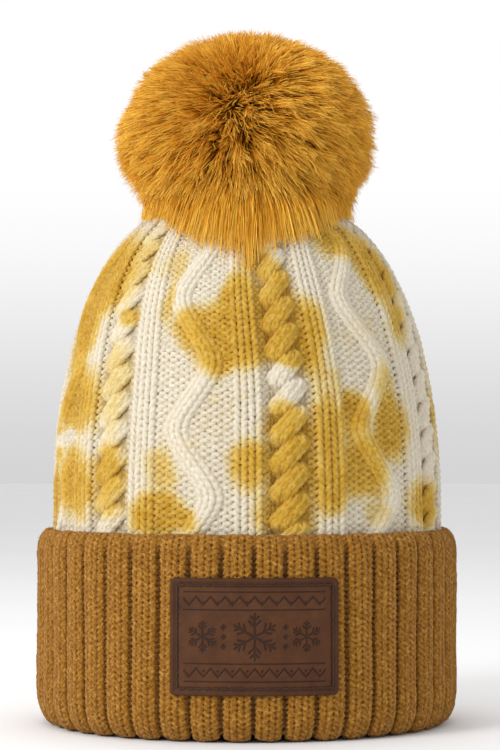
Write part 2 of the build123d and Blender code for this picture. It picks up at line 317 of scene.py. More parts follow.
# ---- The dye: gold blotches on cream ----
# Angle, height, half width in degrees, half height and strength. Negative ones put cream back.
BLOTCHES = [
    (-66, 170, 22, 16, 1.0), (-43, 173, 8, 11, 0.42), (-72, 148, 14, 14, 1.0), (-64, 124, 13, 14, 1.0),
    (-61, 92, 10, 14, 1.0), (-78, 98, 8, 20, 0.9), (-44, 97, 8, 10, 1.0), (-45, 86, 8, 6, 0.55),
    (-41, 155, 4, 4, 0.7), (-27, 80, 8, 9, 1.0), (-19, 79, 6, 5, 0.8), (-25, 96, 4, 8, 0.45),
    (-28, 160, 3, 10, 0.55), (-17, 149, 9, 8, 0.82), (-8, 146, 10, 12, 1.0), (-8, 139, 5, 7, 0.9),
    (-29, 172, 5, 8, 0.4), (-2, 157, 6, 12, 1.0), (1, 146, 7, 12, 1.0), (7, 150, 9, 16, 1.0),
    (15, 147, 9, 14, 1.0), (22, 146, 5, 14, 0.9), (11, 137, 7, 5, 0.8), (5, 172, 6, 9, 0.75),
    (12, 164, 5, 10, 0.9), (25, 128, 5, 10, 0.5), (12, 112, 8, 9, 0.85), (13, 97, 9, 14, 1.0),
    (12, 82, 9, 11, 0.95), (24, 112, 6, 13, 1.0), (25, 94, 6, 15, 1.0), (1, 98, 6, 9, 0.85),
    (33, 119, 5, 8, 1.0), (35, 100, 8, 13, 1.0), (40, 94, 5, 9, 0.8), (47, 112, 8, 13, 1.0),
    (46, 126, 6, 9, 0.5), (64, 86, 10, 9, 0.95), (40, 80, 4, 5, 0.35), (58, 172, 12, 12, 0.9),
    (44, 183, 14, 8, 0.9), (62, 155, 6, 10, 0.65), (-4, 187, 16, 6, 0.8), (82, 118, 8, 10, 0.5),
    (-44, 128, 7, 20, 0.42), (-72, 108, 11, 4, -0.95), (-53, 150, 5, 9, -0.8), (-35, 163, 6, 8, -0.7),
    (9, 128, 7, 6, -0.95), (-3, 119, 7, 13, -0.9), (40, 152, 9, 17, -0.9),
    (26, 78, 5, 3, -0.7), (-14, 168, 8, 7, -0.9),
]
BACK_BLOTCHES = 62      # blotches on the sides and back


def back_blotches():
    """Blotches for the sides and back, of the same sizes as the front's."""
    draw = np.random.default_rng(77)
    spots = []
    for _ in range(BACK_BLOTCHES):
        angle = draw.uniform(88, 272)
        height = draw.uniform(76, 192)
        wide = draw.uniform(4, 10)
        tall = draw.uniform(6, 15)
        spots.append((angle, height, wide, tall, draw.uniform(0.7, 1.0)))
    return spots


def wave_noise(a, b, seed):
    """Smooth noise between about -1 and 1 over two coordinates, from a few crossed waves."""
    draw = np.random.default_rng(seed)
    total = np.zeros(np.broadcast(a, b).shape)
    for octave in range(3):
        for _ in range(4):
            direction = draw.uniform(0, 2 * math.pi)
            rate = 2 ** octave
            phase = draw.uniform(0, 2 * math.pi)
            total += np.sin(rate * (a * math.cos(direction) + b * math.sin(direction)) + phase) / rate
    return total / 4.5


def dye_at(angle, height):
    """How gold the yarn is, 0 to 1, at an angle from the front and a height."""
    angle = (np.asarray(angle) + 180) % 360 - 180
    height = np.asarray(height)
    bent_angle = angle + 2.2 * wave_noise(angle / 5, height / 7, 5)
    bent_height = height + 3.0 * wave_noise(angle / 6, height / 9, 6)
    gold = np.zeros(np.broadcast(angle, height).shape)
    cream = np.zeros_like(gold)
    spots = BLOTCHES + back_blotches()
    for centre, level, wide, tall, strength in spots:
        across = (bent_angle - centre + 180) % 360 - 180
        distance = np.sqrt((across / wide) ** 2 + ((bent_height - level) / tall) ** 2)
        share = (1 - smoothstep(0.35, 1.5, distance)) * abs(strength)
        if strength > 0:
            gold += share**3
        else:
            cream = np.maximum(cream, share)
    gold = np.minimum(gold, 1) ** (1 / 3) * (1 - cream)
    tint = 0.12 * smoothstep(0.1, 0.9, wave_noise(angle / 9, height / 12, 8))
    return np.clip(gold * (1 + 0.10 * wave_noise(angle / 3, height / 4, 9)) + tint, 0, 1)


# ---- The knit dome ----
YARN = 1.18             # radius of the dome's yarn
LOOP_WIDTH = 0.25       # how far a loop's head spreads, in columns
LOOP_HEIGHT = 0.86      # half height of a loop, in courses
LOOP_DEPTH = 0.62       # how far a loop's legs stand out from its head
SAMPLES = 10            # points along the yarn in one column
DEPTHS = {CABLE: -4.3, PURL: -3.3, KNIT: -1.15, PANEL: -2.6}
FACES = {CABLE: 1, PURL: -1, KNIT: 1, PANEL: -1}
TOP_MARGIN = 9.0        # the courses stop this far from the crown's middle
CHAIN_POINTS = 11       # points along one V stitch
CHAIN_TURN = 0.86       # share of a half turn that a V stitch runs to each side


def column_table():
    """Edges and kinds of all the columns round the hat."""
    edges = [CABLE_CENTRE - CABLE_HALF]
    kinds = []
    for _ in range(REPEATS):
        for kind, width in REPEAT:
            edges.append(edges[-1] + width)
            kinds.append(kind)
    return np.array(edges), kinds


def rounded(values, samples, reach):
    """Smooth per-column values into per-sample ones round the ring."""
    full = np.repeat(np.asarray(values, dtype=float), samples)
    kernel = np.hanning(2 * reach + 3)[1:-1]
    kernel /= kernel.sum()
    padded = np.concatenate([full[-reach:], full, full[:reach]])
    return np.convolve(padded, kernel, mode="valid")


def course_line(edges, depths, faces, samples, loop_width, reach):
    """One course of yarn: angle, height in courses, depth and face for each sample."""
    columns = len(depths)
    tau = (np.arange(samples) + 0.5) / samples
    phase = 2 * math.pi * (tau - 0.5)
    width = np.diff(edges)
    middle = (edges[:-1] + edges[1:]) / 2
    across = (tau - 0.5)[None, :] + loop_width * np.sin(2 * phase)[None, :]
    angle = (middle[:, None] + across * width[:, None]).ravel()
    rise = np.tile(np.cos(phase), columns)
    leg = -np.cos(2 * np.tile(phase, columns))
    face = rounded(faces, samples, reach)
    depth = rounded(depths, samples, reach)
    return angle, rise, leg * face, depth


def yarn_scale(length):
    """How much thinner the yarn gets as the columns are gathered to the crown."""
    half = np.interp(length, DOME.lengths, DOME.line[:, 0])
    return np.clip(half / BODY_HALF, 0.12, 1) ** 0.75


def knit_courses(yarns):
    """The ground of the knit: one closed tube of yarn for each course."""
    edges, kinds = column_table()
    angle, rise, leg, depth = course_line(
        edges, [DEPTHS[k] for k in kinds], [FACES[k] for k in kinds], SAMPLES, LOOP_WIDTH, 3
    )
    start = DOME.length_at_height(CUFF_TOP - 9)
    end = DOME.total - TOP_MARGIN
    rows = int((end - start) / ROW)
    first = start + np.arange(rows)[:, None] * ROW
    wander = 0.10 * RANDOM.standard_normal((rows, len(angle) // SAMPLES))
    wander = np.repeat(wander, SAMPLES, axis=1)
    length = first + ROW * (LOOP_HEIGHT * rise[None, :] + 0.5 * wander)
    thin = yarn_scale(length)
    lumps = 0.28 * wave_noise(angle[None, :] / 4, length / 9, 13)
    deep = depth[None, :] * thin + LOOP_DEPTH * leg[None, :] * thin + 0.5 * wander + lumps
    where = warp(angle[None, :] + 0 * length, length)
    points = DOME.place(where, length, deep)
    outwards = DOME.outwards(where, length)
    radius = YARN * thin * (1 + 0.04 * RANDOM.standard_normal(thin.shape[:1])[:, None])
    height = points[..., 2]
    yarns.add(points, radius, outwards, True, dye=dye_at(where, height), deep=deep)


def chain(yarns, centre, depth, width, rows, start, lift, offset, bulge, taper=1.0, dive=None):
    """A column of V stitches. centre and depth follow the course, offset counts columns from the
    band's middle, bulge rounds the band, and dive sinks a stitch by its angle."""
    phase = np.linspace(-CHAIN_TURN * math.pi, CHAIN_TURN * math.pi, CHAIN_POINTS)
    row = np.arange(rows)[:, None]
    level = row + 0.92 * np.cos(phase)[None, :]
    length = start + ROW * level
    across = phase / (2 * math.pi) + 0.205 * np.sin(2 * phase)
    angle = centre(level) + width * across[None, :]
    thin = yarn_scale(length)
    leg = -np.cos(2 * phase)[None, :]
    round_off = bulge * (offset + across[None, :]) ** 2
    deep = (depth(level) + lift * leg - round_off) * thin
    if dive:
        deep -= dive(angle)
    deep += 0.06 * RANDOM.standard_normal((rows, 1))
    where = warp(angle, length)
    points = DOME.place(where, length, deep)
    outwards = DOME.outwards(where, length)
    ends = np.sqrt(np.clip(1 - np.abs(phase / (0.93 * math.pi)) ** 6, 0.05, 1))
    radius = YARN * taper * thin * ends[None, :]
    dye = dye_at(where, points[..., 2])
    yarns.add(points, radius, outwards, False, per_strip=24, dye=dye, deep=deep)


def cable(yarns, centre, start, rows, phase_rows):
    """Two strands of three columns that cross every few courses, the upper one leaning right."""
    half = CABLE_HALF / 2

    def dive(angle):
        return 1.5 * smoothstep(CABLE_HALF * 0.70, CABLE_HALF * 1.25, np.abs(angle - centre))

    for strand in (0, 1):
        shift = phase_rows + strand * CROSS_ROWS

        def sweep(level, shift=shift):
            return math.pi * (level + shift) / CROSS_ROWS

        def middle(level, sweep=sweep):
            return -1.2 * half * np.arcsin(0.96 * np.cos(sweep(level))) / math.asin(0.96)

        for column in (-1, 0, 1):

            def place(level, column=column, middle=middle):
                return centre + middle(level) + column * half * 0.86

            def depth(level, column=column, sweep=sweep):
                over = smoothstep(-0.80, 0.30, np.sin(sweep(level)))
                trail = 0.55 * column * np.cos(sweep(level))
                return -3.8 + 2.9 * over + trail

            width = half * 0.98
            chain(yarns, place, depth, width, rows, start, 0.42, column, 0.42, taper=1.05, dive=dive)


def zigzag(yarns, centre, start, rows):
    """The travelling band: two columns of V stitches that swing from side to side."""
    right_row = (DOME.length_at_height(ZIGZAG_LOW_Z) - start) / ROW

    def swing(level):
        wave = np.cos(2 * math.pi * (level - right_row) / ZIGZAG_ROWS)
        return ZIGZAG_SWING * np.arcsin(0.8 * wave) / math.asin(0.8)

    for side in (-1, 1):

        def place(level, side=side):
            return centre + swing(level) + side * 1.9

        def depth(level):
            return -0.70 + 0 * level

        chain(yarns, place, depth, 4.1, rows, start, 0.32, side / 2, 1.7, taper=1.28)


def knit_backing(yarns):
    """The closed sheet behind the stitches, with the fabric's inside face. It gets the deepest depth value,
    so the material colours it with painted shade.
    """
    angles = np.linspace(-180, 180, 181)[:-1]
    start = DOME.length_at_height(BODY_LOW + 1)
    lengths = np.linspace(start, DOME.total - 3.0, 60)
    for depth, inside_out in ((-3.4, False), (-3.95, True)):
        points = DOME.place(angles[None, :], lengths[:, None], depth)
        dye = dye_at(angles[None, :] + 0 * lengths[:, None], points[..., 2])
        # The depth value -4.4 makes the material paint the whole sheet in shade.
        yarns.add_grid(points, inside_out, dye=dye, deep=np.full(dye.shape, -4.4))


def make_knit_body():
    yarns = Yarns()
    knit_courses(yarns)
    start = DOME.length_at_height(CUFF_TOP - 6)
    rows = int((DOME.total - 24 - start) / ROW)
    for repeat in range(REPEATS):
        centre = CABLE_CENTRE + repeat * 360 / REPEATS
        cable(yarns, centre, start, rows, (repeat * 2 + 1) % 4)
        zigzag(yarns, centre + PANEL_CENTRE, start, rows)
    knit_backing(yarns)
    made = yarns.make("knit_stitches")
    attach(made, "hat")
    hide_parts("knit_body")
    return made


FIBRE_POINTS = 4
FIBRE_HALF_WIDTH = 0.055
FIBRE_LOW = 0.3         # the cuff's fibres stay this far above the table


def loose_fibres(name, place, count, seed):
    """Short fibres that stand a little way off the yarn. place turns offsets into points and normals."""
    draw = np.random.default_rng(seed)
    steps = np.linspace(0, 1, FIBRE_POINTS)[None, :]
    lift = draw.uniform(0.5, 1.25, (count, 1))
    turn = draw.uniform(0, 2 * math.pi, (count, 1)) + draw.uniform(-1.2, 1.2, (count, 1)) * steps
    reach = draw.uniform(1.2, 3.0, (count, 1)) * steps
    points, normal = place(np.cos(turn) * reach, np.sin(turn) * reach, 4 * lift * steps * (1.15 - steps))
    along = unit(np.gradient(points, axis=1))
    side = unit(np.cross(along, unit(normal + 0.5 * draw.standard_normal((count, 1, 3)))))
    half_width = FIBRE_HALF_WIDTH * (1.15 - steps)[..., None]
    made = make_ribbons(name, points, side, half_width, np.arange(count), 64, 0, 0.896)
    point_values(made, "deep", np.zeros(2 * count * FIBRE_POINTS))
    return made, points


def make_dome_fibres(count=26000):
    draw = np.random.default_rng(61)
    angle = draw.uniform(-180, 180, (count, 1))
    low, high = DOME.length_at_height(CUFF_TOP), DOME.total - 14
    start = low + (high - low) * draw.random((count, 1)) ** 1.25

    def place(across, up, lift):
        length = start + up
        where = warp(angle + 0 * length, start) + np.degrees(across / BODY_HALF) / yarn_scale(start)
        depth = -1.3 + draw.uniform(-0.9, 0.7, (count, 1)) + lift
        return DOME.place(where, length, depth), DOME.outwards(where, length)

    made, points = loose_fibres("knit_fibres", place, count, 62)
    turn = np.degrees(np.arctan2(points[..., 0], -points[..., 1] / DEPTH_RATIO))
    point_values(made, "dye", np.repeat(dye_at(turn, points[..., 2]), 2))
    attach(made, "hat")
    return made


def make_cuff_fibres(count=16000):
    draw = np.random.default_rng(71)
    angle = draw.uniform(-180, 180, (count, 1))
    start = draw.uniform(24, CUFF.total - 3, (count, 1))

    def place(across, up, lift):
        length = np.clip(start + up, 0, CUFF.total)
        where = angle + np.degrees(across / CUFF_HALF)
        depth = rib_depth(angle) - 0.1 + draw.uniform(-0.6, 0.5, (count, 1)) + 0.8 * lift
        points = CUFF.place(where, length, depth)
        points[..., 2] = np.maximum(points[..., 2], FIBRE_LOW)
        return points, CUFF.outwards(where, length)

    made, _ = loose_fibres("cuff_fibres", place, count, 72)
    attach(made, "hat")
    return made


# ---- The ribbed cuff ----
RIBS = 43
RIB_START = 1.7         # angle of one of the grooves between ribs
CUFF_ROW = 2.0          # height of a course in the rib
CUFF_YARN = 1.05        # radius of the rib's yarn
CUFF_SAMPLES = 8        # points along the yarn in one column
BOTTOM_IN, BOTTOM_UP = 6.0, 13.0    # rounding of the bottom fold, inwards and upwards
TOP_IN, TOP_DOWN = 5.5, 8.0         # rounding of the top edge, inwards and downwards


def cuff_line():
    """The rib's outside line: down the inside, round the bottom fold, up the front and over the lip."""
    inner = BODY_HALF - LEAF
    outer = CUFF_HALF
    low = outer - BOTTOM_IN
    quarter = np.linspace(0, math.pi / 2, 12)
    line = [(inner, z) for z in np.linspace(26, 8, 10)]
    line += [(low - (low - inner) * math.cos(t), 8 - 8 * math.sin(t)) for t in quarter[1:]]
    line += [(low + BOTTOM_IN * math.sin(t), BOTTOM_UP - BOTTOM_UP * math.cos(t)) for t in quarter[1:]]
    line += [(outer, z) for z in np.linspace(BOTTOM_UP, CUFF_TOP - TOP_DOWN, 40)[1:]]
    line += [
        (outer - TOP_IN + TOP_IN * math.cos(t), CUFF_TOP - TOP_DOWN + TOP_DOWN * math.sin(t))
        for t in quarter[1:]
    ]
    return np.array(line)


CUFF = Profile(cuff_line())


def rib_table():
    """Edges, depths and faces of the rib's columns, one purl and two knit to a rib."""
    pitch = 360 / RIBS
    widths = np.tile([0.16 * pitch, 0.42 * pitch, 0.42 * pitch], RIBS)
    edges = RIB_START - 0.08 * pitch + np.concatenate([[0], np.cumsum(widths)])
    return edges, np.zeros(3 * RIBS), np.tile([-1, 1, 1], RIBS)


def rib_depth(angle):
    """Depth of the rounded ribs, with a narrow groove between them."""
    across = np.abs(2 * (((angle - RIB_START) * RIBS / 360) % 1) - 1)
    return -0.80 - 0.9 * across**2 - 2.5 * smoothstep(0.66, 0.98, across)


def make_rib_cuff():
    yarns = Yarns()
    edges, depths, faces = rib_table()
    angle, rise, leg, _ = course_line(edges, depths, faces, CUFF_SAMPLES, 0.28, 2)
    rows = int((CUFF.total - 11) / CUFF_ROW)
    first = 10 + np.arange(rows)[:, None] * CUFF_ROW
    wander = np.repeat(RANDOM.standard_normal((rows, len(depths))), CUFF_SAMPLES, axis=1)
    length = np.clip(first + CUFF_ROW * (0.95 * rise[None, :] + 0.05 * wander), 0, CUFF.total)
    flat = smoothstep(CUFF.total - 12, CUFF.total - 4, length)
    ribbed = rib_depth(angle)[None, :]
    deep = ribbed + (-1.5 - ribbed) * 0.75 * flat + 0.45 * leg[None, :] + 0.06 * wander
    lumps = 0.35 * wave_noise(angle[None, :] / 4, length / 11, 12)
    where = angle[None, :] + 0.45 * wave_noise(angle[None, :] / 9, length / 24, 11)
    points = CUFF.place(where, length, deep + lumps)
    outwards = CUFF.outwards(where, length)
    radius = CUFF_YARN * (1 + 0.04 * RANDOM.standard_normal(rows)[:, None] + 0 * length)
    yarns.add(points, radius, outwards, True, deep=deep)
    cuff_backing(yarns)
    made = yarns.make("cuff_stitches")
    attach(made, "hat")
    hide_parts("rib_cuff")
    return made


def cuff_backing(yarns):
    """The sheet behind the rib's stitches, both faces, from the hidden seam to the lip. Its depth value
    follows the ribs, so the material gives it painted shade in the grooves.
    """
    angles = RIB_START + np.arange(RIBS * 10) * 36 / RIBS
    line = np.concatenate([[(BODY_HALF - LEAF, BODY_LOW - 1)], cuff_line()])
    sheet = Profile(line)
    lengths = np.concatenate([[0, 15], np.linspace(30, sheet.total, 66)])
    ribbed = rib_depth(angles)[None, :] + 0 * lengths[:, None]
    for depth, inside_out in ((0.75 * ribbed - 0.72, False), (0 * ribbed - 3.8, True)):
        points = sheet.place(angles[None, :], lengths[:, None], depth)
        # The depth value sits 0.9 below the ribs, so the grooves get painted shade.
        yarns.add_grid(points, inside_out, deep=ribbed - 0.9)


# ---- The pompom ----
POM_CENTRE = np.array([(FUR_LOW[0] + FUR_HIGH[0]) / 2, (FUR_LOW[1] + FUR_HIGH[1]) / 2, 224.0])
POM_HALF = np.array([51.0, 49.5, 43.6])     # to the tips
ROOT_CENTRE = np.array([0, 0, 227.5])
ROOT_HALF = np.array([29.0, 28.5, 27.5])    # the backing that the hairs grow from
HAIRS = 72000
CLUMPS = 2300
HAIR_POINTS = 5
HAIR_WIDTH = 0.40
COMB = 0.27             # radians that a tip is combed over, where the pile lies flattest
MOUTH_LOW = 206.6       # height of the lowest roots
FRINGE = 196.5          # height of the fringe's tips at the back
FRINGE_DROP = 17.5      # how much lower the tips hang at the front
# Places where the pile parts: a direction, a strength and a twist.
PARTINGS = [
    ((-0.07, -0.95, 0.30), 1.0, 0.30), ((-0.28, -0.95, -0.09), 1.1, -0.45),
    ((0.42, 0.86, 0.30), 0.9, 0.30), ((-0.45, 0.85, 0.05), 0.9, -0.30), ((0.05, 0.80, -0.35), 0.7, 0.2),
]
# Dents in the outline: a direction, a depth and a width.
DENTS = [
    ((-0.93, -0.10, 0.34), 0.085, 0.13), ((-0.86, -0.15, -0.48), 0.07, 0.14),
    ((0.9, 0.05, -0.40), 0.04, 0.14), ((0.25, -0.35, 0.90), 0.03, 0.2),
    ((0.2, 0.9, 0.5), 0.05, 0.2), ((-0.6, 0.7, -0.2), 0.05, 0.2),
]


def spread(count, jitter, draw):
    """Directions spread evenly over a ball, shaken a little."""
    step = np.arange(count) + 0.5
    up = 1 - 2 * step / count
    turn = math.pi * (1 + 5**0.5) * step
    flat = np.sqrt(1 - up**2)
    even = np.stack([flat * np.cos(turn), flat * np.sin(turn), up], axis=1)
    return unit(even + jitter * draw.standard_normal(even.shape))


def pile_flow(directions):
    """Which way the pile lies at each direction from the middle, and how strongly."""
    flow = np.zeros_like(directions)
    nearest = np.full(len(directions), 9.0)
    for parting, strength, twist in PARTINGS:
        source = unit(np.array(parting))
        cosine = directions @ source
        away = unit(directions * cosine[:, None] - source)
        round_it = np.cross(source, directions)
        distance = np.arccos(np.clip(cosine, -1, 1))
        nearest = np.minimum(nearest, distance)
        flow += (away + twist * round_it) * (strength / (distance**2 + 0.30))[:, None]
    down = np.array([0, 0, -1.0])
    flow += 0.6 * (down - directions * (directions @ down)[:, None])
    x, y, z = directions.T
    turn = 0.75 * wave_noise(6 * x + 3 * y, 6 * z - 3 * y, 31)[:, None]
    flow = flow * np.cos(turn) + np.cross(directions, flow) * np.sin(turn)
    size = np.linalg.norm(flow, axis=1)
    return flow / np.maximum(size, 1e-6)[:, None], smoothstep(-0.1, 0.75, nearest) * size / (size + 1.2)


def pile_reach(directions):
    """How far the tips reach, as a share of the ball, with dents and soft lumps."""
    reach = np.ones(len(directions))
    for dent, depth, width in DENTS:
        angle = np.arccos(np.clip(directions @ unit(np.array(dent)), -1, 1))
        reach -= depth * np.exp(-((angle / width) ** 2))
    x, y, z = directions.T
    return reach + 0.018 * wave_noise(3 * x + 2 * y, 3 * z - y, 21)


def ride_over_crown(points):
    """Move hair points that would be inside the knit out to its surface."""
    line = DOME.line
    around = np.hypot(points[..., 0], points[..., 1] / DEPTH_RATIO)
    top = np.interp(around, line[::-1, 0], line[::-1, 1])
    half = np.interp(points[..., 2], line[:, 1], line[:, 0]) + 1.7
    inside = points[..., 2] < top + 1.2
    outer = inside & (around > 22)
    inner = inside & ~outer
    grow = np.where(outer, half / np.maximum(around, 1e-3), 1.0)
    grow = np.clip(grow, 1.0, 1.6)
    points[..., 0] *= grow
    points[..., 1] *= grow
    points[..., 2] = np.where(inner, top + 1.6, points[..., 2])
    return points


def pile_curves(directions, draw, sway, length):
    """Root, bend and tip of each hair."""
    flow, strength = pile_flow(directions)
    angle = COMB * strength
    tip_way = directions * np.cos(angle)[:, None] + flow * np.sin(angle)[:, None]
    tip_way = unit(tip_way + sway * draw.standard_normal(tip_way.shape))
    root = ROOT_CENTRE + directions * ROOT_HALF * 0.96
    tip = POM_CENTRE + tip_way * POM_HALF * (pile_reach(tip_way) * length)[:, None]
    gap = np.linalg.norm(tip - root, axis=1)[:, None]
    bend = root + directions * 0.52 * gap
    # The lowest hairs spread out and hang over the crown of the knit.
    hang = smoothstep(0.42, 0.80, -tip_way[:, 2])[:, None]
    flat = unit(tip_way[:, :2])
    front = ((1 - flat[:, 1]) / 2) ** 9
    level = FRINGE - FRINGE_DROP * front + (1.6 + 2.4 * front) * draw.standard_normal(len(flat))
    half = np.interp(level, DOME.line[:, 1], DOME.line[:, 0])
    half = half + 1.2 + np.abs(draw.standard_normal(len(flat)))
    over = np.column_stack([flat[:, 0] * half, flat[:, 1] * half * DEPTH_RATIO, level])
    tip = tip + (over - tip) * hang
    shoulder = np.column_stack([flat * 43.0, 209 + 1.5 * draw.standard_normal(len(flat))])
    bend = bend + (shoulder - bend) * hang
    return root, bend, tip


def make_pile():
    draw = np.random.default_rng(4)
    clump_ways = spread(CLUMPS, 0.03, draw)
    clump_length = 1 + 0.028 * draw.standard_normal(CLUMPS)
    clump = pile_curves(clump_ways, draw, 0.13, clump_length)
    ways = spread(HAIRS, 0.012, draw)
    ways = ways[ways[:, 2] > -0.93]
    nearest = np.empty(len(ways), dtype=int)
    for low in range(0, len(ways), 4000):
        nearest[low:low + 4000] = np.argmax(ways[low:low + 4000] @ clump_ways.T, axis=1)
    length = 1.0 - 0.16 * draw.random(len(ways)) ** 1.6 + 0.015 * draw.standard_normal(len(ways))
    root, bend, tip = pile_curves(ways, draw, 0.07, length)
    pull = np.clip(0.42 + 0.18 * draw.standard_normal(CLUMPS), 0.1, 0.8)[nearest][:, None]
    tip += (clump[2][nearest] - tip) * pull
    bend += (clump[1][nearest] - bend) * pull * 0.5
    root[:, 2] = np.maximum(root[:, 2], MOUTH_LOW)
    t = np.linspace(0, 1, HAIR_POINTS)[None, :, None]
    points = (1 - t) ** 2 * root[:, None] + 2 * t * (1 - t) * bend[:, None] + t**2 * tip[:, None]
    points += (t**2) * 0.5 * draw.standard_normal((len(ways), 1, 3))
    points = ride_over_crown(points)
    along = unit(np.gradient(points, axis=1))
    face = unit(unit(points - POM_CENTRE) + 0.75 * draw.standard_normal((len(ways), 1, 3)))
    side = unit(np.cross(along, face))
    share = np.linspace(0, 1, HAIR_POINTS)
    width = HAIR_WIDTH * (1 - 0.7 * share**3) * (1 + 0.2 * draw.standard_normal((len(ways), 1)))
    # The hairs of a clump lie next to each other on the texture map.
    order = np.argsort(np.argsort(nearest, kind="stable"))
    made = make_ribbons("pompom_pile", points, side, width[..., None] / 2, order, 8, 0.08, 0.84)
    count = len(ways)
    tone = draw.standard_normal(CLUMPS)[nearest] * 0.7 + 0.5 * draw.standard_normal(count)
    point_values(made, "reach", np.tile(np.repeat(share, 2), count))
    point_values(made, "tone", np.repeat(tone, 2 * HAIR_POINTS))
    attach(made, "pompom")
    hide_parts("pompom_fur")
    return made


def make_backing():
    """The stuffed ball under the pile, hollowed below round the press stud."""
    rows, columns = 40, 64
    up = np.linspace(-0.5 * math.pi, 0.5 * math.pi, rows)[:, None]
    turn = np.linspace(0, 2 * math.pi, columns + 1)[None, :-1]
    x = np.cos(up) * np.cos(turn) * ROOT_HALF[0]
    y = np.cos(up) * np.sin(turn) * ROOT_HALF[1]
    z = ROOT_CENTRE[2] + np.sin(up) * ROOT_HALF[2] + 0 * turn
    around = np.hypot(x, y)
    floor = 206.4 + 5.4 * (1 - smoothstep(9, 16, around))
    z = np.maximum(z, floor)
    points = np.stack([x, y, z], axis=-1)
    quads = ring_quads(np.arange(rows * columns).reshape(rows, columns))
    made = make_object("pompom_backing", points.reshape(-1, 3), quads.reshape(-1, 4))
    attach(made, "pompom")
    return made


# ---- The patch ----
PATCH_X = (PATCH_LOW[0] + PATCH_HIGH[0]) / 2
PATCH_Z = (PATCH_LOW[2] + PATCH_HIGH[2]) / 2
PATCH_WIDE, PATCH_TALL = 61.0, 42.0
PATCH_CORNER = 2.0
PATCH_THICK = 1.4
BORDER = 1.5
STITCH_INSET = 2.6


def edge_distance(x, z):
    """How far inside the patch's edge a point is."""
    dx = np.abs(x) - (PATCH_WIDE / 2 - PATCH_CORNER)
    dz = np.abs(z) - (PATCH_TALL / 2 - PATCH_CORNER)
    outside = np.hypot(np.maximum(dx, 0), np.maximum(dz, 0))
    return PATCH_CORNER - outside - np.minimum(np.maximum(dx, dz), 0)


def segment(x, z, x0, z0, x1, z1):
    """Distance to a line between two points."""
    ax, az = x1 - x0, z1 - z0
    t = np.clip(((x - x0) * ax + (z - z0) * az) / (ax * ax + az * az), 0, 1)
    return np.hypot(x - x0 - t * ax, z - z0 - t * az)


def snowflake(x, z, cx, cz, size):
    """Distance to a plain snowflake: six straight arms with two pairs of branches on each."""
    nearest = np.full(x.shape, 99.0)
    for arm in range(6):
        a = math.pi / 2 + 2 * math.pi * arm / 6
        ax, az = math.cos(a), math.sin(a)
        nearest = np.minimum(nearest, segment(x, z, cx, cz, cx + size * ax, cz + size * az))
        for start, length in ((0.45, 0.34), (0.72, 0.24)):
            for lean in (-1, 1):
                b = a + lean * math.pi / 4
                x0, z0 = cx + size * start * ax, cz + size * start * az
                tip = (x0 + size * length * math.cos(b), z0 + size * length * math.sin(b))
                nearest = np.minimum(nearest, segment(x, z, x0, z0, *tip))
    return nearest


def diamond(x, z, cx, cz, half):
    return (np.abs(x - cx) + np.abs(z - cz) - half) / math.sqrt(2)


def motif(x, z):
    """How deeply the generic geometric pattern is pressed, 0 to 1."""

    def filled(distance, soft=0.14):
        return 1 - smoothstep(-soft, soft, distance)

    pressed = filled(snowflake(x, z, 0, 0, 8.2) - 0.42)
    for side in (-1, 1):
        pressed = np.maximum(pressed, filled(snowflake(x, z, side * 18.5, 0, 5.4) - 0.34))
        for height in (-3.4, 0, 3.4):
            pressed = np.maximum(pressed, filled(diamond(x, z, side * 11.0, height, 1.15)))
        for level in (9.6, 16.0):
            pressed = np.maximum(pressed, filled(np.abs(z - side * level) - 0.24) * (np.abs(x) < 25.6))
        wave = side * 12.8 + 1.5 * (2 * np.abs(((x / 5.2) % 1) * 2 - 1) - 1)
        pressed = np.maximum(pressed, filled(np.abs(z - wave) * 0.66 - 0.34) * (np.abs(x) < 25.6))
        for place in range(-4, 5):
            pressed = np.maximum(
                pressed, filled(np.hypot(x - place * 5.2 - 2.6, z - side * 12.2) - 0.5) * (abs(x) < 25.6)
            )
    return pressed


